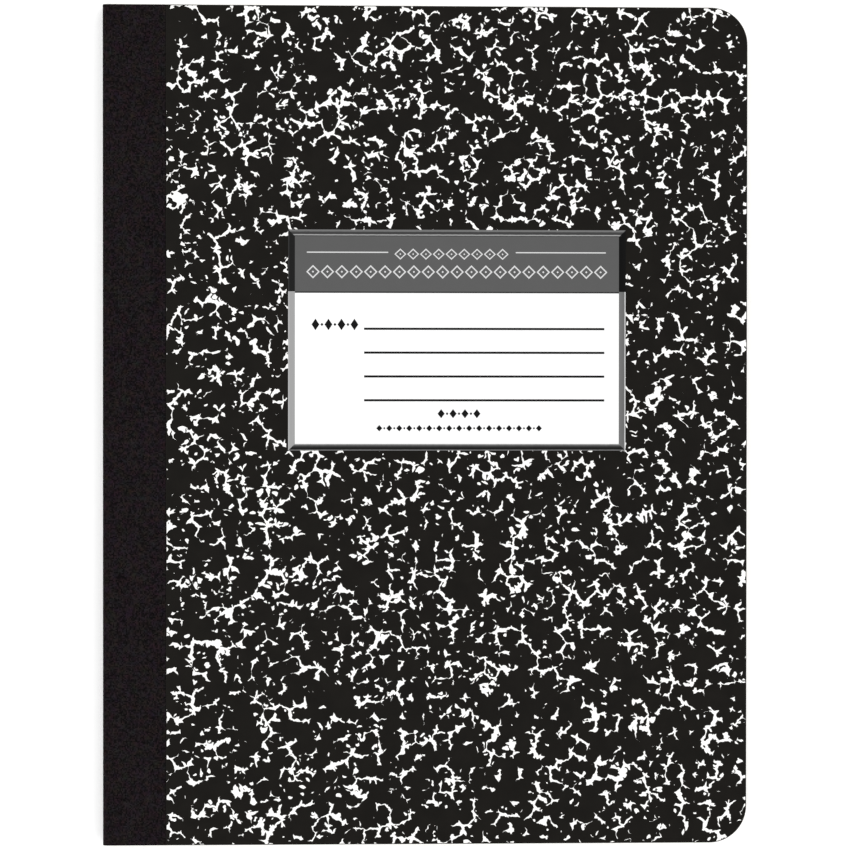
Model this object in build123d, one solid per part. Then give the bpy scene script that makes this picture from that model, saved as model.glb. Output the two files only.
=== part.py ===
from build123d import *
from itertools import cycle
from math import floor
import os

# Composition notebook, lying closed on its back cover.
# X runs from the spine to the fore edge, Y to the head, Z out of the front cover.
# The origin is the centre of the notebook's footprint, on the surface it lies on.

# Trimmed size of the closed notebook
book_width = 190.5
book_height = 247.65
fore_corner_radius = 11.0

# Folded gathering of sheets
sheet_count = 50
sheet_thickness = 0.088
fold_radius = 1.5
page_setback = 0.2

# Cover boards
board_thickness = 0.8
board_setback = 0.9

# Cloth tape round the spine
tape_thickness = 0.25
tape_seat_depth = 0.15
tape_on_cover = 18.6
tape_edge_radius = 0.2
tape_wrap_angle = 45.0

# Hinge folds of the tape, from the spine side of the gathering and its faces
hinge_inset = 0.1
hinge_lift = 0.1

# Sewing thread through the fold
thread_diameter = 0.4
thread_clearance = 0.1
stitch_length = 6.5
stitch_margin = 6.0
stitch_bend = 0.45

# Hollow inside the innermost fold
gutter_radius = 0.35
gutter_taper = 1.6

# Panel for the owner's name on the front cover
label_width = 99.8
label_height = 65.2
label_from_fore_edge = 36.15
label_from_head = 66.0
label_thickness = 0.3
label_rim_width = 2.0
label_rim_drop = 0.2

# Levels, from the surface the notebook lies on
tape_proud = tape_thickness - tape_seat_depth
z_back_outer = tape_proud
z_pages_bottom = z_back_outer + board_thickness
z_pages_top = z_pages_bottom + sheet_count * sheet_thickness
z_front_outer = z_pages_top + board_thickness
z_fold = (z_pages_bottom + z_pages_top) / 2

# Places across the width
x_spine_outer = -book_width / 2
x_fold = x_spine_outer + tape_thickness
x_board_spine = x_fold + board_setback
x_tape_end = x_spine_outer + tape_on_cover
x_fore = book_width / 2

# Thread's groove on the spine side, its passages and the hollow of the innermost fold
passage_radius = thread_diameter / 2 + thread_clearance
x_groove = x_fold + passage_radius
groove_depth = 2 * passage_radius
x_gutter = x_fold + sheet_count / 2 * sheet_thickness + gutter_radius
stitches = floor((book_height - 2 * stitch_margin) / stitch_length)
hole_places = [(row - stitches / 2) * stitch_length for row in range(stitches + 1)]

# Hinge lines, both parallel to the spine
hinge_x = x_fold + hinge_inset
front_hinge_z = z_pages_top + hinge_lift
back_hinge_z = z_pages_bottom - hinge_lift


def slab(x_start, x_end, height, z_start, z_end):
    """A flat block centred on the height, square to the axes."""
    size = (x_end - x_start, height, z_end - z_start)
    return Pos((x_start + x_end) / 2, 0, (z_start + z_end) / 2) * Box(*size)


def trimmed(x_start, inset, z_start, z_end):
    """A slab with the notebook's two rounded corners at the fore edge."""
    body = slab(x_start, x_fore - inset, book_height - 2 * inset, z_start, z_end)
    corners = body.edges().filter_by(Axis.Z).group_by(Axis.X)[-1]
    return fillet(corners, fore_corner_radius - inset)


def sewing_thread():
    """One running stitch: out along the spine and in along the gutter, by turns."""
    points = []
    for start, end, x_row in zip(hole_places, hole_places[1:], cycle((x_groove, x_gutter))):
        points += [(x_row, start, z_fold), (x_row, end, z_fold)]
    path = FilletPolyline(*points, radius=stitch_bend)
    return sweep(Plane(origin=path @ 0, z_dir=path % 0) * Circle(thread_diameter / 2), path)


def page_block():
    """The whole gathering, folded at the spine, with its sewing holes and gutter."""
    pages = trimmed(x_fold, page_setback, z_pages_bottom, z_pages_top)
    folds = pages.edges().filter_by(Axis.Y).group_by(Axis.X)[0]
    pages = fillet(folds, fold_radius)
    gutter = Circle(gutter_radius) + Polygon(
        (0, -gutter_radius), (gutter_taper, 0), (0, gutter_radius), align=None
    )
    side = Plane(origin=(x_gutter, book_height / 2, z_fold), x_dir=(1, 0, 0), z_dir=(0, -1, 0))
    pages -= extrude(side * gutter, book_height)
    run_length = hole_places[-1] - hole_places[0] + 2 * passage_radius
    pages -= Pos(x_fold, 0, z_fold) * Box(2 * groove_depth, run_length, 2 * passage_radius)
    for y_hole in hole_places:
        hole = Cylinder(passage_radius, x_gutter - x_groove, rotation=(0, 90, 0))
        pages -= Pos((x_groove + x_gutter) / 2, y_hole, z_fold) * hole
    return pages


def cover_board(z_inner, z_outer):
    """A board with a shallow seat for the tape pressed into its outer face."""
    outward = 1 if z_outer > z_inner else -1
    board = trimmed(x_board_spine, 0, min(z_inner, z_outer), max(z_inner, z_outer))
    z_seat = z_outer - outward * tape_seat_depth
    seat = slab(x_board_spine, x_tape_end, book_height, min(z_seat, z_outer), max(z_seat, z_outer))
    return board - seat


def cover_tape(z_inner, z_outer):
    """The tape's strip on a cover, turned down over the board's spine edge."""
    outward = 1 if z_outer > z_inner else -1
    z_seat = z_outer - outward * tape_seat_depth
    z_face = z_outer + outward * tape_proud
    x_edge = x_board_spine - tape_thickness
    strip = slab(x_edge, x_tape_end, book_height, min(z_seat, z_face), max(z_seat, z_face))
    leg = slab(x_edge, x_board_spine, book_height, min(z_inner, z_seat), max(z_inner, z_seat))
    tape = strip + leg
    ridge = tape.edges().filter_by(Axis.Y).sort_by_distance((x_edge, 0, z_face))[0]
    return fillet(ridge, tape_edge_radius)


def spine_tape():
    """The tape's strip on the spine, bent a little way round the gathering's two folds."""
    x_centre = x_fold + fold_radius
    outer_radius = fold_radius + tape_thickness
    upper = (x_centre, z_pages_top - fold_radius)
    lower = (x_centre, z_pages_bottom + fold_radius)
    with BuildLine(Plane.XZ) as outline:
        upper_outer = CenterArc(upper, outer_radius, 180 - tape_wrap_angle, tape_wrap_angle)
        lower_outer = CenterArc(lower, outer_radius, 180, tape_wrap_angle)
        upper_inner = CenterArc(upper, fold_radius, 180 - tape_wrap_angle, tape_wrap_angle)
        lower_inner = CenterArc(lower, fold_radius, 180, tape_wrap_angle)
        Line(upper_outer @ 1, lower_outer @ 0)
        Line(upper_inner @ 1, lower_inner @ 0)
        Line(upper_outer @ 0, upper_inner @ 0)
        Line(lower_outer @ 1, lower_inner @ 1)
    section = make_face(outline.line)
    return extrude(section, book_height / 2, both=True)


def front_label():
    """A flat panel whose rim slopes down to the cover."""
    x_label = x_fore - label_from_fore_edge - label_width / 2
    y_label = book_height / 2 - label_from_head - label_height / 2
    z_label = z_front_outer + label_thickness / 2
    panel = Pos(x_label, y_label, z_label) * Box(label_width, label_height, label_thickness)
    top = panel.faces().sort_by(Axis.Z)[-1]
    return chamfer(top.edges(), label_rim_width, label_rim_drop, reference=top)


notebook = {
    "page_block": page_block(),
    "sewing_thread": sewing_thread(),
    "spine_tape": spine_tape(),
    "front_cover": cover_board(z_pages_top, z_front_outer),
    "front_tape": cover_tape(z_pages_top, z_front_outer),
    "front_label": front_label(),
    "back_cover": cover_board(z_pages_bottom, z_back_outer),
    "back_tape": cover_tape(z_pages_bottom, z_back_outer),
}

os.makedirs("parts", exist_ok=True)
for node, shape in notebook.items():
    export_step(shape, f"parts/{node}.step")
print(f"hinge lines: x {hinge_x:.3f}, front z {front_hinge_z:.3f}, back z {back_hinge_z:.3f}")
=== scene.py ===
"""Composition notebook: a sewn gathering, marbled board covers, a cloth tape and a name panel."""
import math
import random
from contextlib import contextmanager

import bmesh
import bpy
from bpy.props import FloatProperty, FloatVectorProperty, IntProperty, PointerProperty
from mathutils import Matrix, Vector


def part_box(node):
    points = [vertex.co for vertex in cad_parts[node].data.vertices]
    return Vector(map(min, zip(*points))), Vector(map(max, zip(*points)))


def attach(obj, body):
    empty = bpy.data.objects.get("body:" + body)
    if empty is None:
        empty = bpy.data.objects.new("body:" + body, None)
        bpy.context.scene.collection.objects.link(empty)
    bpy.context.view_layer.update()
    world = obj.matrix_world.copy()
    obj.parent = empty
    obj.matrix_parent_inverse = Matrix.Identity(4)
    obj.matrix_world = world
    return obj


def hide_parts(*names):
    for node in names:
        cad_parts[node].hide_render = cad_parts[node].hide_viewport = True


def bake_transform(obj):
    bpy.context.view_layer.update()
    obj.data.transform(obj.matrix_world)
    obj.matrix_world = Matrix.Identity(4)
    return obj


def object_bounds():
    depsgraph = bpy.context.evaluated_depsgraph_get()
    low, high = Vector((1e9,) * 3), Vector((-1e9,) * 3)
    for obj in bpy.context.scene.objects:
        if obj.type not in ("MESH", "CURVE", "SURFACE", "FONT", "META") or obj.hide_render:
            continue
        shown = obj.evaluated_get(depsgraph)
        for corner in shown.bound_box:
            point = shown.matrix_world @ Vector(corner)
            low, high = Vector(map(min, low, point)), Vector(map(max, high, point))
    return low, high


bl_info = {
    "name": "Composition notebook",
    "version": (1, 0, 0),
    "blender": (4, 5, 0),
    "location": "View3D > Sidebar > Notebook",
    "description": "Models a sewn notebook with marbled covers round its packed frame",
    "category": "Add Mesh",
}

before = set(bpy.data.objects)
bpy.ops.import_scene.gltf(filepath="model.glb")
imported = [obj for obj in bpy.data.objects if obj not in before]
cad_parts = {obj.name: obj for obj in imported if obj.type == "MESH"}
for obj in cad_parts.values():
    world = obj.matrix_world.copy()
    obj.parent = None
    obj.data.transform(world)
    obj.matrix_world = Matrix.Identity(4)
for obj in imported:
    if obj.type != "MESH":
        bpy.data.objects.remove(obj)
CAD_LOW, CAD_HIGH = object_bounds()
MM = 0.001

# Places taken from the frame, in metres
PAGES_LOW, PAGES_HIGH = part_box("page_block")
FRONT_LOW, FRONT_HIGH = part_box("front_cover")
BACK_LOW, BACK_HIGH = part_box("back_cover")
TAPE_LOW, TAPE_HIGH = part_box("front_tape")
SPINE_LOW, SPINE_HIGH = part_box("spine_tape")
LABEL_LOW, LABEL_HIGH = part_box("front_label")
X_TAPE_END = TAPE_HIGH.x
Z_MIDDLE = (PAGES_LOW.z + PAGES_HIGH.z) / 2

# Which way a cover faces along z
FRONT = 1
BACK = -1
SIDES = (("front", FRONT_LOW, FRONT_HIGH, FRONT), ("back", BACK_LOW, BACK_HIGH, BACK))

# Fineness of the meshes
CLOSE = 1e-6
SHEET_CORNER_STEPS = 10
SHEET_FOLD_STEPS = 4
BOARD_CORNER_STEPS = 20
BOARD_EDGE_STEPS = 2
SHOULDER_STEPS = 8
SPINE_STEPS = 4
TAPE_COLUMNS = 12
TAPE_COLUMN_WIDTH = 1.5 * MM
TAPE_ROWS = 60

# The gathering
PLAY_SEED = 4
TIGHTEST_FOLD = 0.35 * MM

# The name panel: how far its top stays under the frame's, and the dark line under its header
PANEL_INSET = 0.02 * MM
HEADER_LINE = 0.45 * MM

# The stage, in metres, watts and degrees
FLOOR_REACH = 15
FLOOR_DROP = 0.05 * MM
LIGHT_SIZE = 1.3
LIGHTS = (("key", (-1.1, 1.2, 1.6), 7), ("right_box", (1.3, 1.0, 1.6), 2.2),
          ("near_box", (1.2, -1.2, 1.6), 1.6), ("left_box", (-1.2, -1.1, 1.6), 3.7))
SKY_STRENGTH = 0.95
CAMERA_PLACE = (-0.02262, 0.00603, 0.70352)
CAMERA_TURN = (-0.482, -1.833, 0.038)
CAMERA_LENS = 100
CAMERA_SENSOR = 36


def shade(value):
    """A grey of that display value, 0 to 255, as linear light."""
    share = value / 255
    return share / 12.92 if share <= 0.04045 else ((share + 0.055) / 1.055) ** 2.4


def grey(value):
    return (shade(value),) * 3 + (1.0,)


def length(name, text, millimetres):
    return FloatProperty(name=name, description=text, default=millimetres * MM, min=0.0,
                         precision=6, subtype="DISTANCE", unit="LENGTH")


def colour(name, text, *values):
    return FloatVectorProperty(name=name, description=text, subtype="COLOR", size=3, min=0.0,
                               max=1.0, default=tuple(shade(v) for v in values))


class NotebookSizes(bpy.types.PropertyGroup):
    """Sizes of the notebook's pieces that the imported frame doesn't give."""

    double_sheets: IntProperty(name="Double sheets", description="Sheets folded into the gathering",
                               default=25, min=1)
    paper: length("Paper", "Thickness of one sheet", 0.082)
    page_fold: length("Page fold", "Radius of the outermost sheet at the spine", 1.5)
    trim_play: length("Trim play", "How far one sheet's cut edge strays from the next", 0.03)
    corner: length("Corner", "Radius of the two corners at the fore edge", 11.0)
    board_edge: length("Board edge", "Softening of the boards' cut edges", 0.1)
    cover_paper: length("Cover paper", "Thickness of the printed paper on the boards", 0.04)
    # The cut rim is a dark band along the cover paper's outer edges. It is painted shade for the
    # shadow at the cover's outline, not a darkening by the cutter.
    painted_edge_shade: length("Cut rim", "Width that the cutter darkened along the cover paper's edges", 0.22)
    tape: length("Tape", "Thickness of the cloth tape", 0.25)
    tape_seat: length("Tape seat", "Depth of the tape in the boards", 0.15)
    shoulder: length("Shoulder", "Outer radius of the tape as it turns from cover to spine", 1.3)
    rim: length("Panel rim", "Width of the panel's sloping rim", 2.0)
    rim_drop: length("Rim drop", "How far the panel's rim slopes down", 0.15)
    header: length("Header", "Height of the panel's grey header, with the rim", 18.25)
    ink: length("Ink", "Thickness of the panel's printed lines", 0.012)


class NotebookColours(bpy.types.PropertyGroup):
    """Colours of the notebook's pieces."""

    paper: colour("Paper", "Page paper", 231, 228, 217)
    board: colour("Board", "Cut edge of the boards", 176, 170, 160)
    liner: colour("Liner", "Inner face of the boards", 226, 222, 213)
    dark: colour("Dark print", "Dark ground of the marble print", 22, 20, 17)
    light: colour("Light print", "Light veins of the marble print", 250, 249, 247)
    cloth: colour("Cloth", "Cloth of the spine tape", 24, 19, 21)
    thread: colour("Thread", "Sewing thread", 226, 220, 205)
    header: colour("Header", "Grey header of the panel", 89, 89, 89)
    panel: colour("Panel", "White field of the panel", 250, 250, 250)


def sizes():
    return bpy.context.scene.notebook_sizes


def colours():
    return bpy.context.scene.notebook_colours


# Modelling helpers

def only(piece):
    """Selects one piece and makes it the active one."""
    bpy.ops.object.select_all(action="DESELECT")
    piece.select_set(True)
    bpy.context.view_layer.objects.active = piece


@contextmanager
def editing(piece):
    """Edit mode on one piece, with nothing selected."""
    only(piece)
    bpy.ops.object.mode_set(mode="EDIT")
    bpy.ops.mesh.select_mode(type="VERT")
    bpy.ops.mesh.select_all(action="DESELECT")
    yield
    bpy.ops.object.mode_set(mode="OBJECT")


def middle(item):
    """Where a vertex is, or the middle of an edge or a face."""
    if isinstance(item, bmesh.types.BMVert):
        return item.co
    return sum((v.co for v in item.verts), Vector()) / len(item.verts)


def pick(piece, kind, test):
    """Selects the vertices, edges or faces whose middle passes a test."""
    bpy.ops.mesh.select_mode(type={"verts": "VERT", "edges": "EDGE", "faces": "FACE"}[kind])
    bpy.ops.mesh.select_all(action="DESELECT")
    mesh = bmesh.from_edit_mesh(piece.data)
    found = [item for item in getattr(mesh, kind) if test(middle(item))]
    if not found:
        raise RuntimeError(f"{piece.name}: none of its {kind} is where it was looked for")
    for item in found:
        item.select_set(True)
    mesh.select_flush_mode()
    bmesh.update_edit_mesh(piece.data)


def near(value, wanted):
    return abs(value - wanted) < CLOSE


def new_piece(name, low, high, flat=False):
    """A box between two corners, or a flat sheet between them, with its place in its mesh."""
    low, high = Vector(low), Vector(high)
    bpy.ops.object.select_all(action="DESELECT")
    add = bpy.ops.mesh.primitive_plane_add if flat else bpy.ops.mesh.primitive_cube_add
    add(size=1, location=(low + high) / 2)
    piece = bpy.context.object
    piece.name = piece.data.name = name
    piece.scale = [side or 1 for side in high - low]
    bpy.ops.object.transform_apply(location=True, rotation=True, scale=True)
    return piece


def move(offset):
    """Moves what is selected."""
    bpy.ops.transform.translate(value=offset)


def cut(place, normal):
    """Cuts every face of the piece in edit mode along a plane."""
    bpy.ops.mesh.select_all(action="SELECT")
    bpy.ops.mesh.bisect(plane_co=place, plane_no=normal)


def modify(piece, kind, **settings):
    """Adds a modifier and applies it."""
    only(piece)
    modifier = piece.modifiers.new(kind.title(), kind)
    for name, value in settings.items():
        setattr(modifier, name, value)
    bpy.ops.object.modifier_apply(modifier=modifier.name)


def join(pieces, name):
    """Makes several pieces one."""
    only(pieces[0])
    for piece in pieces:
        piece.select_set(True)
    if len(pieces) > 1:
        bpy.ops.object.join()
    joined = bpy.context.object
    joined.name = joined.data.name = name
    return joined


def recalculate(piece):
    """Merges doubles and turns every face outwards."""
    with editing(piece):
        bpy.ops.mesh.select_all(action="SELECT")
        bpy.ops.mesh.remove_doubles(threshold=1e-7)
        bpy.ops.mesh.normals_make_consistent(inside=False)


def smooth(piece, degrees):
    """Smooth shading, except across edges sharper than an angle."""
    only(piece)
    bpy.ops.object.shade_smooth_by_angle(angle=math.radians(degrees))


def finish(piece, body, slot, *nodes):
    """Hangs a rigid piece on its body in place of CAD nodes."""
    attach(piece, body)
    if nodes:
        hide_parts(*nodes)


# Material helpers

class Finish:
    """A material under construction: one Principled shader and the nodes that feed it."""

    def __init__(self, name, roughness=0.6, specular=0.3, **sockets):
        self.material = bpy.data.materials.new(name)
        self.material.use_nodes = True
        self.nodes = self.material.node_tree.nodes
        self.links = self.material.node_tree.links
        self.shader = self.nodes["Principled BSDF"]
        self.shader.inputs["Roughness"].default_value = roughness
        self.shader.inputs["Specular IOR Level"].default_value = specular
        for key, value in sockets.items():
            self.shader.inputs[key.replace("_", " ")].default_value = value
        place = self.add("ShaderNodeTexCoord")
        self.place = self.vector("SCALE", place.outputs["Object"], scale=1 / MM)

    def add(self, kind, **settings):
        node = self.nodes.new(kind)
        for name, value in settings.items():
            setattr(node, name, value)
        return node

    def put(self, socket, value):
        if isinstance(value, bpy.types.NodeSocket):
            self.links.new(value, socket)
        else:
            socket.default_value = value

    def math(self, operation, *values, clamp=False):
        node = self.add("ShaderNodeMath", operation=operation, use_clamp=clamp)
        for socket, value in zip(node.inputs, values):
            self.put(socket, value)
        return node.outputs[0]

    def vector(self, operation, *values, scale=None):
        node = self.add("ShaderNodeVectorMath", operation=operation)
        for socket, value in zip(node.inputs, values):
            self.put(socket, value)
        if scale is not None:
            self.put(node.inputs["Scale"], scale)
        return node.outputs[0]

    def noise(self, size, detail=2.0, at=None, shift=(0, 0, 0), colour=False):
        """Noise whose lumps are about size millimetres across, from 0 to 1."""
        node = self.add("ShaderNodeTexNoise", noise_dimensions="3D")
        self.put(node.inputs["Vector"], self.vector("ADD", at or self.place, shift))
        node.inputs["Scale"].default_value = 1 / size
        node.inputs["Detail"].default_value = detail
        return node.outputs["Color" if colour else "Fac"]

    def cells(self, size, at, shift, feature="DISTANCE_TO_EDGE"):
        """Distance in a pattern of cells about size millimetres across, in cells."""
        node = self.add("ShaderNodeTexVoronoi", voronoi_dimensions="2D", feature=feature)
        self.put(node.inputs["Vector"], self.vector("ADD", at, shift))
        node.inputs["Scale"].default_value = 1 / size
        return node.outputs["Distance"]

    def ramp(self, value, *stops):
        """A colour ramp: stops are (place, colour)."""
        node = self.add("ShaderNodeValToRGB")
        elements = node.color_ramp.elements
        while len(elements) < len(stops):
            elements.new(0.5)
        for element, (at, tint) in zip(elements, stops):
            element.position = at
            element.color = tint
        self.put(node.inputs["Fac"], value)
        return node.outputs["Color"]

    def mix(self, share, first, second):
        node = self.add("ShaderNodeMix", data_type="RGBA")
        self.put(node.inputs["Factor"], share)
        self.put(node.inputs["A"], first)
        self.put(node.inputs["B"], second)
        return node.outputs["Result"]

    def colour(self, value):
        self.put(self.shader.inputs["Base Color"], value)

    def rough(self, value):
        self.put(self.shader.inputs["Roughness"], value)

    def bump(self, height, distance, strength=1.0):
        node = self.add("ShaderNodeBump")
        node.inputs["Distance"].default_value = distance * MM
        node.inputs["Strength"].default_value = strength
        self.put(node.inputs["Height"], height)
        self.put(self.shader.inputs["Normal"], node.outputs["Normal"])


def tint(base, factor=1.0):
    return tuple(min(1.0, c * factor) for c in base) + (1.0,)


def page_paper():
    """Uncoated writing paper: faint cloudiness and a fine tooth."""
    made = Finish("page_paper", roughness=0.9, specular=0.15)
    cloud = made.noise(6.0, 4.0)
    base = colours().paper
    made.colour(made.ramp(cloud, (0.3, tint(base, 0.965)), (0.7, tint(base, 1.0))))
    made.bump(made.noise(0.22, 3.0), 0.02, 0.5)
    return made.material


def board_core():
    """Cut edge of grey board, layered along its thickness."""
    made = Finish("board_core", roughness=0.95, specular=0.1)
    base = colours().board
    flat = made.add("ShaderNodeMapping")
    made.put(flat.inputs["Vector"], made.place)
    flat.inputs["Scale"].default_value = (0.3, 0.3, 6.0)
    fibres = made.noise(1.0, 3.0, at=flat.outputs["Vector"])
    made.colour(made.ramp(fibres, (0.3, tint(base, 0.72)), (0.7, tint(base, 1.1))))
    made.bump(fibres, 0.03, 0.6)
    return made.material


def board_liner():
    """Off-white lining on the inside of the boards."""
    made = Finish("board_liner", roughness=0.75, specular=0.2)
    base = colours().liner
    flecks = made.noise(0.5, 3.0, shift=(4, 9, 2))
    cloud = made.noise(14.0, 2.0)
    mottle = made.ramp(cloud, (0.3, tint(base, 0.97)), (0.7, tint(base, 1.0)))
    made.colour(made.mix(made.math("GREATER_THAN", flecks, 0.68), mottle, tint(base, 0.88)))
    made.bump(made.noise(0.3, 3.0), 0.02, 0.4)
    return made.material


def printed_dark():
    """Dark printed paper: the boards' outer faces, the cut edges of the cover paper, and the painted
    shade band along its outer edge.
    """
    made = Finish("printed_dark", roughness=0.55, specular=0.09)
    base = colours().dark
    made.colour(made.ramp(made.noise(3.0), (0.3, tint(base, 0.85)), (0.7, tint(base, 1.15))))
    made.bump(made.noise(0.4, 3.0), 0.01, 0.3)
    return made.material


# The marble print, in millimetres. A vein follows the border between cells. Its width starts at
# base and changes with patches, with the clusters, towards a fork and with swellings. A fork
# starts at a share of a cell from its middle.
COARSE_VEINS = {"cell": 3.6, "shift": (0, 0, 0), "base": -0.4, "patch": 2.6, "patchy": 3.5,
                "clustered": 3.2, "fork": 2.1, "thickest": 0.4, "swollen": 0.85}
FINE_VEINS = {"cell": 1.65, "shift": (31, 17, 9), "base": -1.15, "patch": 2.6, "patchy": 2.6,
              "clustered": 1.5, "fork": 0.75, "thickest": 0.2, "swollen": 0.75}
SWAYS = ({"amount": 1.0, "size": 3.9, "shift": (3.1, 7.7, 1.3)},
         {"amount": 0.5, "size": 1.0, "shift": (13.1, 2.7, 5.3)})
CLUSTER_SIZE = 7.3
SWELLING_SIZE = 2.4
FORK_START = 0.45
POOL_SIZE = 1.8
POOL_CUT = 0.715
POOL_STEEPNESS = 4.4
POOL_CLUSTERED = 2.0
VEIN_FILLET = 0.3


def marble(made):
    """1 where the print is light: veins between swaying cells, and small pools of light."""
    def centred(size, detail, shift):
        return made.math("SUBTRACT", made.noise(size, detail, shift=shift), 0.5)

    wavy = made.place
    for sway in SWAYS:
        push = made.noise(sway["size"], 0.2, at=wavy, shift=sway["shift"], colour=True)
        push = made.vector("SUBTRACT", push, (0.5, 0.5, 0.5))
        push = made.vector("SCALE", push, scale=sway["amount"] * 2)
        wavy = made.vector("ADD", wavy, push)
    cluster = centred(CLUSTER_SIZE, 1.0, (50.0, 3.0, 0.4))
    swelling = centred(SWELLING_SIZE, 0.6, (5.0, 33.0, 2.4))

    def veins(cell, shift, base, patch, patchy, clustered, fork, thickest, swollen):
        edge = made.math("MULTIPLY", made.cells(cell, wavy, shift), cell)
        forks = made.math("SUBTRACT", made.cells(cell, wavy, shift, "F1"), FORK_START)
        width = made.math("MULTIPLY_ADD", centred(patch, 0.5, shift), patchy, base)
        width = made.math("MULTIPLY_ADD", cluster, clustered, width)
        width = made.math("MULTIPLY_ADD", forks, fork, width)
        width = made.math("MINIMUM", width, thickest)
        width = made.math("MULTIPLY_ADD", swelling, swollen, width)
        return made.math("SUBTRACT", width, edge)

    pools = made.noise(POOL_SIZE, 0.5, at=wavy, shift=(71.0, 13.0, 2.0))
    pools = made.math("SUBTRACT", pools, POOL_CUT)
    pools = made.math("MULTIPLY_ADD", pools, POOL_STEEPNESS,
                      made.math("MULTIPLY", cluster, POOL_CLUSTERED))
    light = made.math("SMOOTH_MAX", veins(**COARSE_VEINS), veins(**FINE_VEINS), VEIN_FILLET)
    light = made.math("SMOOTH_MAX", light, pools, VEIN_FILLET)
    return made.math("GREATER_THAN", light, 0.0)


def marble_print():
    """Marbled cover paper: light veins on a dark ground, with a slight sheen."""
    made = Finish("marble_print", roughness=0.55, specular=0.07)
    palette = colours()
    veins = marble(made)
    ground = made.ramp(made.noise(5.0, 3.0, shift=(9, 4, 1)),
                       (0.3, tint(palette.dark, 0.85)), (0.7, tint(palette.dark, 1.15)))
    made.colour(made.mix(veins, ground, tint(palette.light)))
    made.rough(made.math("MULTIPLY_ADD", made.noise(2.0, 3.0), 0.15, 0.45))
    made.bump(made.noise(0.5, 3.0), 0.01, 0.25)
    return made.material


def tape_cloth():
    """Black book cloth: a plain weave along its own map, with uneven threads, filled and matte; the
    gaps between threads are darkened as painted shade.
    """
    made = Finish("tape_cloth", roughness=0.8, specular=0.05)
    base = colours().cloth
    own = made.add("ShaderNodeUVMap", uv_map="cloth")
    along = made.vector("SCALE", own.outputs["UV"], scale=1 / MM)
    stray = made.vector("SCALE", made.noise(2.5, 2.0, at=along, colour=True), scale=0.35)
    along = made.vector("ADD", along, stray)
    parts = made.add("ShaderNodeSeparateXYZ")
    made.put(parts.inputs["Vector"], along)
    pitch = 0.38

    def threads(axis):
        """Rounded threads across one direction, from 0 between them to 1 on their crowns."""
        wave = made.math("SINE", made.math("MULTIPLY", parts.outputs[axis], 2 * math.pi / pitch))
        return made.math("MULTIPLY_ADD", wave, 0.5, 0.5)

    weave = made.math("MULTIPLY", threads("X"), threads("Y"))
    crossings = made.add("ShaderNodeTexWhiteNoise", noise_dimensions="2D")
    made.put(crossings.inputs["Vector"],
             made.vector("FLOOR", made.vector("SCALE", along, scale=1 / pitch)))
    uneven = crossings.outputs["Value"]
    # The weave term darkens the gaps between the threads: painted shade. The noise per crossing is
    # the threads' own uneven tone.
    tone = made.math("MULTIPLY_ADD", uneven, 0.8, made.math("MULTIPLY", weave, 0.35))
    tone = made.math("MULTIPLY_ADD", made.noise(1.4, 2.0, at=along), 0.5, tone)
    tone = made.math("MULTIPLY_ADD", made.noise(9.0, 3.0, at=along), 0.3, tone)
    tone = made.math("SUBTRACT", tone, 0.45, clamp=True)
    stain = made.mix(0.5, made.noise(2.2, 1.0, at=along, colour=True), (0.5, 0.5, 0.5, 1.0))
    crown = made.vector("MULTIPLY", stain, tuple(c * 4.2 for c in base))
    made.colour(made.mix(tone, tint(base, 0.15), crown))
    made.bump(made.math("MULTIPLY_ADD", uneven, 0.4, weave), 0.04, 0.7)
    return made.material


def thread_cotton():
    """Twisted cotton: slanting plies along the stitches."""
    made = Finish("thread_cotton", roughness=0.8, specular=0.2)
    base = colours().thread
    wave = made.add("ShaderNodeTexWave", bands_direction="DIAGONAL")
    made.put(wave.inputs["Vector"], made.place)
    wave.inputs["Scale"].default_value = 1.2
    # The darker bands between the slanting plies are painted shade in the twist's grooves.
    made.colour(made.ramp(wave.outputs["Fac"], (0.2, tint(base, 0.7)), (0.8, tint(base, 1.05))))
    made.bump(wave.outputs["Fac"], 0.05, 0.8)
    return made.material


def panel_paper(name, base):
    """Smooth coated paper of the panel in one printed colour."""
    made = Finish(name, roughness=0.45, specular=0.1)
    made.colour(made.ramp(made.noise(4.0, 3.0), (0.3, tint(base, 0.97)), (0.7, tint(base, 1.0))))
    made.bump(made.noise(0.3, 2.0), 0.006, 0.3)
    return made.material


def rim_print(name, axis, start, end, *stops):
    """Printed shading across the panel's rim, from its outer edge inwards."""
    made = Finish(name, roughness=0.45, specular=0.1)
    parts = made.add("ShaderNodeSeparateXYZ")
    made.put(parts.inputs["Vector"], made.place)
    across = made.math("DIVIDE", made.math("SUBTRACT", parts.outputs[axis], start / MM),
                       (end - start) / MM, clamp=True)
    grain = made.math("MULTIPLY_ADD", made.noise(1.0, 2.0), 0.08, -0.04)
    made.colour(made.ramp(made.math("ADD", across, grain),
                          *[(at, grey(value)) for at, value in stops]))
    return made.material


def floor_paint():
    """Pale studio sweep that glows a little, so that shadows on it stay short and faint."""
    made = Finish("floor_paint", roughness=0.9, specular=0.1, Emission_Color=grey(255),
                  Emission_Strength=0.14)
    made.colour(made.ramp(made.noise(300.0, 1.0), (0.3, grey(250)), (0.7, grey(252))))
    return made.material


# Pieces

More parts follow.
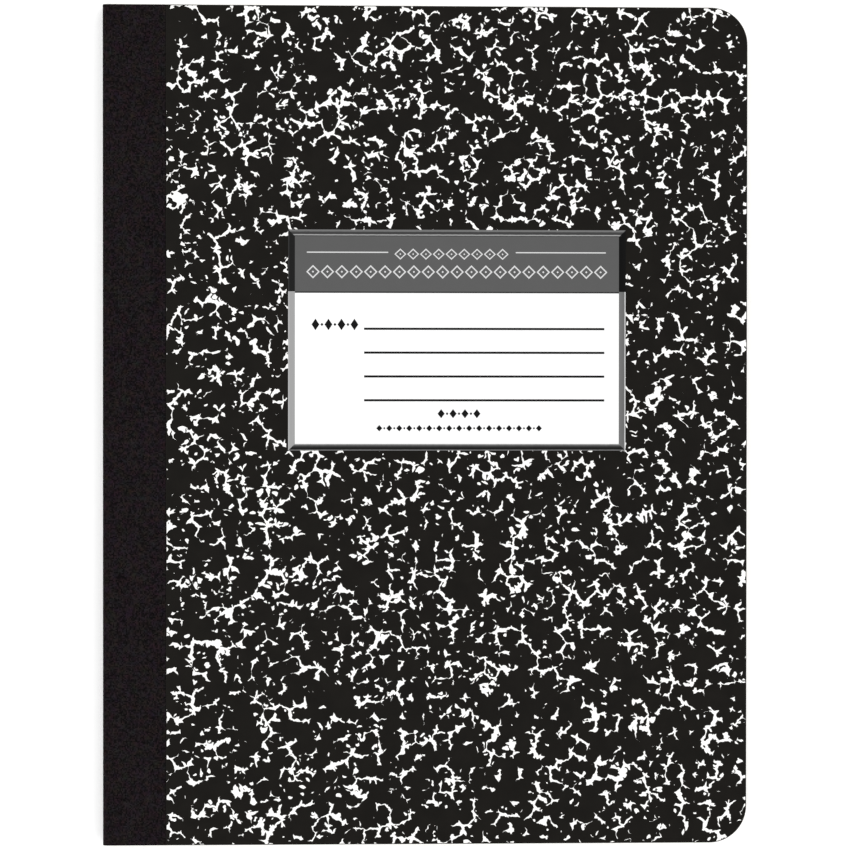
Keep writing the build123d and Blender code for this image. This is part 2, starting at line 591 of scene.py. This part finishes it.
def folded_sheet(index, count, fore_play, foot_play, head_play):
    """One double sheet: lower leaf, fold at the spine and upper leaf, as an open surface."""
    pitch = (PAGES_HIGH.z - PAGES_LOW.z) / (2 * count)
    inset = (index + 0.5) * pitch
    low = PAGES_LOW.z + inset
    high = PAGES_HIGH.z - inset
    x_fold = PAGES_LOW.x + inset
    radius = min((high - low) / 2, max(sizes().page_fold - inset, TIGHTEST_FOLD))
    x_fore = PAGES_HIGH.x - fore_play
    foot = PAGES_LOW.y + foot_play
    head = PAGES_HIGH.y - head_play
    sheet = new_piece("sheet", (x_fold + radius, foot, low), (x_fore, head, low), flat=True)

    def round_corners(z):
        pick(sheet, "verts", lambda p: near(p.x, x_fore) and near(p.z, z))
        bpy.ops.mesh.bevel(offset=sizes().corner, segments=SHEET_CORNER_STEPS, affect="VERTICES")

    def bend(z):
        bpy.ops.mesh.spin(steps=SHEET_FOLD_STEPS, angle=math.pi / 2,
                          center=(x_fold + radius, 0, z), axis=(0, -1, 0))

    def extrude(offset):
        bpy.ops.mesh.extrude_edges_move(TRANSFORM_OT_translate={"value": offset})

    with editing(sheet):
        round_corners(low)
        pick(sheet, "edges", lambda p: near(p.x, x_fold + radius))
        bend(low + radius)
        if high - low - 2 * radius > CLOSE:
            extrude((0, 0, high - low - 2 * radius))
        bend(high - radius)
        extrude((x_fore - x_fold - radius, 0, 0))
        round_corners(high)
    return sheet


class NOTEBOOK_OT_pages(bpy.types.Operator):
    """Folds the double sheets, nests them and joins them into the gathering"""

    bl_idname = "notebook.pages"
    bl_label = "Pages"

    def execute(self, context):
        count = sizes().double_sheets
        draw = random.Random(PLAY_SEED)
        play = sizes().trim_play
        sheets = [folded_sheet(i, count, *[draw.uniform(0, play) for _ in range(3)])
                  for i in range(count)]
        pages = join(sheets, "pages")
        recalculate(pages)
        modify(pages, "SOLIDIFY", thickness=sizes().paper, offset=0)
        smooth(pages, 30)
        pages.data.materials.append(page_paper())
        finish(pages, "pages", "paper", "page_block")
        return {"FINISHED"}


class NOTEBOOK_OT_thread(bpy.types.Operator):
    """Gives the sewing thread its twisted cotton finish"""

    bl_idname = "notebook.thread"
    bl_label = "Thread"

    def execute(self, context):
        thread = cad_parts["sewing_thread"]
        thread.data.materials.clear()
        thread.data.materials.append(thread_cotton())
        return {"FINISHED"}


def cover_board(name, low, high, outward):
    """A board with rounded fore-edge corners, a seat for the tape and softened edges."""
    board = new_piece(name, low, high)
    z_outer = high.z if outward == FRONT else low.z
    z_inner = low.z if outward == FRONT else high.z
    soft = sizes().board_edge
    with editing(board):
        pick(board, "edges", lambda p: near(p.x, high.x) and near(p.z, (low.z + high.z) / 2))
        bpy.ops.mesh.bevel(offset=sizes().corner, segments=BOARD_CORNER_STEPS, affect="EDGES")
        pick(board, "edges", lambda p: near(p.z, z_inner))
        bpy.ops.mesh.bevel(offset=soft, segments=BOARD_EDGE_STEPS, affect="EDGES")
        cut((X_TAPE_END, 0, 0), (1, 0, 0))
        cut((X_TAPE_END + soft, 0, 0), (1, 0, 0))
        pick(board, "verts", lambda p: p.x < X_TAPE_END + CLOSE and near(p.z, z_outer))
        move((0, 0, -outward * sizes().tape_seat))
    smooth(board, 30)
    return board


class NOTEBOOK_OT_boards(bpy.types.Operator):
    """Models the front and back cover boards"""

    bl_idname = "notebook.boards"
    bl_label = "Boards"

    def execute(self, context):
        finishes = [board_core(), board_liner(), printed_dark()]
        core, liner, printed = range(len(finishes))
        for side, low, high, outward in SIDES:
            board = cover_board(f"{side}_board", low, high, outward)
            for made in finishes:
                board.data.materials.append(made)
            for face in board.data.polygons:
                facing = face.normal.z * outward
                face.material_index = printed if facing > 0.5 else liner if facing < -0.5 else core
            finish(board, side, "cover_board", f"{side}_cover")
        return {"FINISHED"}


class NOTEBOOK_OT_cover_paper(bpy.types.Operator):
    """Lays the marbled paper on the outer face of both boards, up to the tape"""

    bl_idname = "notebook.cover_paper"
    bl_label = "Cover paper"

    def execute(self, context):
        thick = sizes().cover_paper
        finishes = [marble_print(), printed_dark()]
        marbled, cut_edge_and_shade_band = range(len(finishes))
        for side, low, high, outward in SIDES:
            z_low = high.z if outward == FRONT else low.z - thick
            z_outer = z_low + thick if outward == FRONT else z_low
            paper = new_piece(f"{side}_cover_paper", (X_TAPE_END, low.y, z_low),
                              (high.x, high.y, z_low + thick))
            with editing(paper):
                pick(paper, "edges", lambda p: near(p.x, high.x) and near(p.z, z_low + thick / 2))
                bpy.ops.mesh.bevel(offset=sizes().corner, segments=BOARD_CORNER_STEPS, affect="EDGES")
                # The inset leaves a band along the outer face's edge that takes the dark finish:
                # painted shade along the cover's outline. The side faces are the paper's real cut
                # edges.
                pick(paper, "faces", lambda p: near(p.z, z_outer))
                bpy.ops.mesh.inset(thickness=sizes().painted_edge_shade, depth=0)
            for face in paper.data.polygons:
                inside_rim = near(face.center.z, z_outer) and len(face.vertices) > 4
                face.material_index = marbled if inside_rim else cut_edge_and_shade_band
            smooth(paper, 30)
            for made in finishes:
                paper.data.materials.append(made)
            finish(paper, side, "cover_board")
        return {"FINISHED"}


def tape_half(name, outward):
    """Cloth from its edge on a cover, over the shoulder and down to the middle of the spine."""
    thick = sizes().tape
    bend = sizes().shoulder - thick / 2
    z_cover = (TAPE_HIGH.z - thick / 2) if outward == FRONT else (CAD_LOW.z + thick / 2)
    x_spine = SPINE_LOW.x + thick / 2
    z_centre = z_cover - outward * bend
    tape = new_piece(name, (x_spine + bend, FRONT_LOW.y, z_cover),
                     (X_TAPE_END - thick / 2, FRONT_HIGH.y, z_cover), flat=True)
    with editing(tape):
        for column in range(1, TAPE_COLUMNS):
            cut((x_spine + bend + column * TAPE_COLUMN_WIDTH, 0, 0), (1, 0, 0))
        pick(tape, "edges", lambda p: near(p.x, x_spine + bend))
        bpy.ops.mesh.spin(steps=SHOULDER_STEPS, angle=math.pi / 2,
                          center=(x_spine + bend, 0, z_centre), axis=(0, outward, 0))
        for _ in range(SPINE_STEPS):
            bpy.ops.mesh.extrude_edges_move(
                TRANSFORM_OT_translate={"value": (0, 0, (Z_MIDDLE - z_centre) / SPINE_STEPS)})
        for row in range(1, TAPE_ROWS):
            y = FRONT_LOW.y + (FRONT_HIGH.y - FRONT_LOW.y) * row / TAPE_ROWS
            cut((0, y, 0), (0, 1, 0))
    recalculate(tape)

    def run_at(p):
        """How far along the cloth a point is, from where the shoulder starts, in metres."""
        across = x_spine + bend - p.x
        above = (p.z - z_centre) * outward
        if across <= CLOSE:
            return -across
        if above > -CLOSE:
            return -bend * math.atan2(across, above)
        return -bend * math.pi / 2 + above

    cloth = tape.data.uv_layers[0]
    cloth.name = "cloth"
    for loop in tape.data.loops:
        p = tape.data.vertices[loop.vertex_index].co
        cloth.data[loop.index].uv = (run_at(p), p.y)
    modify(tape, "SOLIDIFY", thickness=thick, offset=0)
    smooth(tape, 60)
    return tape


class NOTEBOOK_OT_tape(bpy.types.Operator):
    """Wraps the cloth tape from both covers round the spine"""

    bl_idname = "notebook.tape"
    bl_label = "Tape"

    def execute(self, context):
        made = tape_cloth()
        for side, outward, z_edge in (("front", FRONT, PAGES_HIGH.z), ("back", BACK, PAGES_LOW.z)):
            tape = tape_half(f"{side}_tape_cloth", outward)
            tape.data.materials.append(made)
            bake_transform(tape)
            nodes = ("front_tape", "spine_tape") if side == "front" else ("back_tape",)
            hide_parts(*nodes)
        return {"FINISHED"}


def label_panel():
    """The name panel: a flat field with a rim that slopes down to the cover."""
    top = LABEL_HIGH.z - PANEL_INSET
    rim = sizes().rim
    drop = sizes().rim_drop
    panel = new_piece("name_panel", (LABEL_LOW.x, LABEL_LOW.y, LABEL_LOW.z),
                      (LABEL_HIGH.x, LABEL_HIGH.y, top))
    y_header = LABEL_HIGH.y - sizes().header
    with editing(panel):
        pick(panel, "faces", lambda p: near(p.z, top))
        bpy.ops.mesh.inset(thickness=rim, depth=0)
        pick(panel, "verts", lambda p: near(p.z, top) and (
            near(p.x, LABEL_LOW.x) or near(p.x, LABEL_HIGH.x) or near(p.y, LABEL_LOW.y)
            or near(p.y, LABEL_HIGH.y)))
        move((0, 0, -drop))
        for y in (y_header, y_header - HEADER_LINE):
            cut((0, y, 0), (0, 1, 0))
    return panel, top, y_header


class NOTEBOOK_OT_label(bpy.types.Operator):
    """Models the name panel with its rim, header, rules and plain ornaments"""

    bl_idname = "notebook.label"
    bl_label = "Name panel"

    def execute(self, context):
        panel, top, y_header = label_panel()
        rim = sizes().rim
        low, high = LABEL_LOW, LABEL_HIGH
        finishes = {
            "field": panel_paper("panel_white", colours().panel),
            "header": panel_paper("panel_grey", colours().header),
            "line": panel_paper("panel_line", (shade(51),) * 3),
            "top": rim_print("rim_top", "Y", high.y, high.y - rim,
                             (0.0, 110), (0.28, 110), (0.32, 62), (0.68, 62), (0.72, 157),
                             (0.84, 157), (0.88, 67)),
            "bottom": rim_print("rim_bottom", "Y", low.y, low.y + rim,
                                (0.0, 112), (0.12, 110), (0.16, 38), (0.3, 15), (0.45, 28),
                                (0.6, 52), (0.8, 94), (1.0, 186)),
            "left of header": rim_print("rim_left_header", "X", low.x, low.x + rim,
                                        (0.0, 48), (0.15, 45), (0.2, 23)),
            "right of header": rim_print("rim_right_header", "X", high.x, high.x - rim,
                                         (0.0, 6), (0.5, 2), (1.0, 1)),
            "left": rim_print("rim_left", "X", low.x, low.x + rim,
                              (0.0, 177), (0.15, 174), (0.2, 158)),
            "right": rim_print("rim_right", "X", high.x, high.x - rim,
                               (0.0, 200), (0.14, 200), (0.18, 102), (1.0, 115)),
        }

        def part_at(x, y):
            """Which of the panel's printed parts a place belongs to."""
            in_header = y > y_header - CLOSE
            if y >= high.y - rim:
                return "top"
            if y <= low.y + rim:
                return "bottom"
            if x <= low.x + rim:
                return "left of header" if in_header else "left"
            if x >= high.x - rim:
                return "right of header" if in_header else "right"
            if in_header:
                return "header"
            return "line" if y > y_header - HEADER_LINE else "field"

        parts = list(finishes)
        for made in finishes.values():
            panel.data.materials.append(made)
        for face in panel.data.polygons:
            face.material_index = parts.index(part_at(face.center.x, face.center.y))
        finish(panel, "front", "label_paper", "front_label")
        self.print_marks(top)
        return {"FINISHED"}

    def print_marks(self, top):
        """Rules and rows of plain ornaments, as thin raised ink."""
        ink = sizes().ink

        def place(x, y):
            """A place on the panel, from its head-side spine corner, in millimetres."""
            return LABEL_LOW.x + x * MM, LABEL_HIGH.y - y * MM

        def bar(x_start, x_end, y_start, y_end):
            left, head = place(x_start, y_start)
            right, foot = place(x_end, y_end)
            return new_piece("mark", (left, foot, top - ink), (right, head, top + ink))

        def lozenge(x, y, half_width, half_height, stroke=None):
            """A solid lozenge, or the outline of one drawn with a stroke."""
            cx, cy = place(x, y)
            bpy.ops.object.select_all(action="DESELECT")
            bpy.ops.mesh.primitive_circle_add(vertices=4, radius=MM, fill_type="NGON",
                                              location=(cx, cy, top - ink))
            mark = bpy.context.object
            mark.scale = (half_width, half_height, 1)
            bpy.ops.object.transform_apply(location=True, rotation=True, scale=True)
            with editing(mark):
                if stroke:
                    bpy.ops.mesh.select_all(action="SELECT")
                    bpy.ops.mesh.inset(thickness=stroke * MM, depth=0)
                    bpy.ops.mesh.delete(type="FACE")
                bpy.ops.mesh.select_all(action="SELECT")
                bpy.ops.mesh.extrude_region_move(TRANSFORM_OT_translate={"value": (0, 0, 2 * ink)})
                bpy.ops.mesh.select_all(action="SELECT")
                bpy.ops.mesh.normals_make_consistent(inside=False)
            return mark

        def row(mark, step, count, along=(1, 0, 0)):
            """A mark and its copies at even steps, each with its own mesh."""
            marks = [mark]
            for _ in range(count - 1):
                only(marks[-1])
                bpy.ops.object.duplicate(linked=False)
                move(Vector(along) * step * MM)
                bpy.ops.object.transform_apply(location=True, rotation=True, scale=True)
                marks.append(bpy.context.object)
            return marks

        def lattice(x_start, x_end, y, height, stroke, count):
            """A row of wide lozenge outlines, nearly touching, with a solid one in each."""
            step = (x_end - x_start) / count
            x = x_start + step / 2
            half_width = step * 0.47
            dot = stroke * 0.9
            return (row(lozenge(x, y, half_width, height / 2, stroke), step, count)
                    + row(lozenge(x, y, dot, dot), step, count))

        def solid_row(x_start, x_end, y, height, count):
            """A row of solid lozenges with small ones between them."""
            half_share = 0.3
            step = (x_end - x_start) / (count - 1 + 2 * half_share)
            half_width = step * half_share
            x = x_start + half_width
            return (row(lozenge(x, y, half_width, height / 2), step, count)
                    + row(lozenge(x + step / 2, y, step * 0.11, step * 0.13), step, count - 1))

        header_rule = {"y_start": 6.53, "y_end": 6.87}
        light = [bar(5.5, 29.5, **header_rule), bar(67.2, 93.9, **header_rule)]
        light += lattice(31.2, 65.2, 7.2, 3.3, 0.32, 9)
        light += lattice(5.2, 94.5, 12.45, 4.0, 0.38, 21)
        rule_pitch = 7.033
        dark = row(bar(22.4, 93.5, 28.93, 29.57), rule_pitch, 4, along=(0, -1, 0))
        dark += solid_row(6.9, 20.7, 28.0, 3.4, 4)
        dark += solid_row(44.1, 56.8, 54.3, 2.7, 4)
        dark += solid_row(26.0, 75.0, 58.6, 1.9, 17)
        for name, marks, value in (("light_ink", light, 215), ("dark_ink", dark, 12)):
            printed = join(marks, name)
            printed.data.materials.append(panel_paper(name, (shade(value),) * 3))
            finish(printed, "front", "label_paper")


class NOTEBOOK_OT_stage(bpy.types.Operator):
    """Adds the floor, the soft lights and the camera"""

    bl_idname = "notebook.stage"
    bl_label = "Stage"

    def execute(self, context):
        scene = context.scene
        z_floor = CAD_LOW.z - FLOOR_DROP
        floor = new_piece("floor", (-FLOOR_REACH, -FLOOR_REACH, z_floor),
                          (FLOOR_REACH, FLOOR_REACH, z_floor), flat=True)
        floor.data.materials.append(floor_paint())
        middle_point = Vector((0, 0, CAD_HIGH.z))
        for name, place, power in LIGHTS:
            bpy.ops.object.select_all(action="DESELECT")
            bpy.ops.object.light_add(type="AREA", location=place)
            light = context.object
            light.name = name
            light.data.energy = power
            light.data.size = LIGHT_SIZE
            aim = middle_point - Vector(place)
            light.rotation_euler = aim.to_track_quat("-Z", "Y").to_euler()
        world = bpy.data.worlds.new("studio")
        world.use_nodes = True
        sky = world.node_tree.nodes["Background"]
        sky.inputs["Color"].default_value = (1, 1, 1, 1)
        sky.inputs["Strength"].default_value = SKY_STRENGTH
        scene.world = world
        scene.view_settings.view_transform = "Standard"
        bpy.ops.object.camera_add(location=CAMERA_PLACE)
        camera = context.object
        camera.name = "camera"
        camera.rotation_euler = [math.radians(angle) for angle in CAMERA_TURN]
        camera.data.lens = CAMERA_LENS
        camera.data.sensor_width = CAMERA_SENSOR
        scene.camera = camera
        return {"FINISHED"}


OPERATORS = (NOTEBOOK_OT_pages, NOTEBOOK_OT_thread, NOTEBOOK_OT_boards, NOTEBOOK_OT_cover_paper,
             NOTEBOOK_OT_tape, NOTEBOOK_OT_label, NOTEBOOK_OT_stage)


class NOTEBOOK_PT_panel(bpy.types.Panel):
    """Lists the notebook's pieces, sizes and colours"""

    bl_idname = "NOTEBOOK_PT_panel"
    bl_label = "Composition notebook"
    bl_space_type = "VIEW_3D"
    bl_region_type = "UI"
    bl_category = "Notebook"

    def draw(self, context):
        for operator in OPERATORS:
            self.layout.operator(operator.bl_idname)
        for group in (context.scene.notebook_sizes, context.scene.notebook_colours):
            for name in group.__annotations__:
                self.layout.prop(group, name)


CLASSES = (NotebookSizes, NotebookColours, *OPERATORS, NOTEBOOK_PT_panel)


def register():
    for made in CLASSES:
        bpy.utils.register_class(made)
    bpy.types.Scene.notebook_sizes = PointerProperty(type=NotebookSizes)
    bpy.types.Scene.notebook_colours = PointerProperty(type=NotebookColours)


def unregister():
    del bpy.types.Scene.notebook_colours
    del bpy.types.Scene.notebook_sizes
    for made in reversed(CLASSES):
        bpy.utils.unregister_class(made)


def main():
    register()
    for operator in OPERATORS:
        group, name = operator.bl_idname.split(".")
        getattr(getattr(bpy.ops, group), name)()
    bpy.context.view_layer.update()


if __name__ == "__main__":
    main()
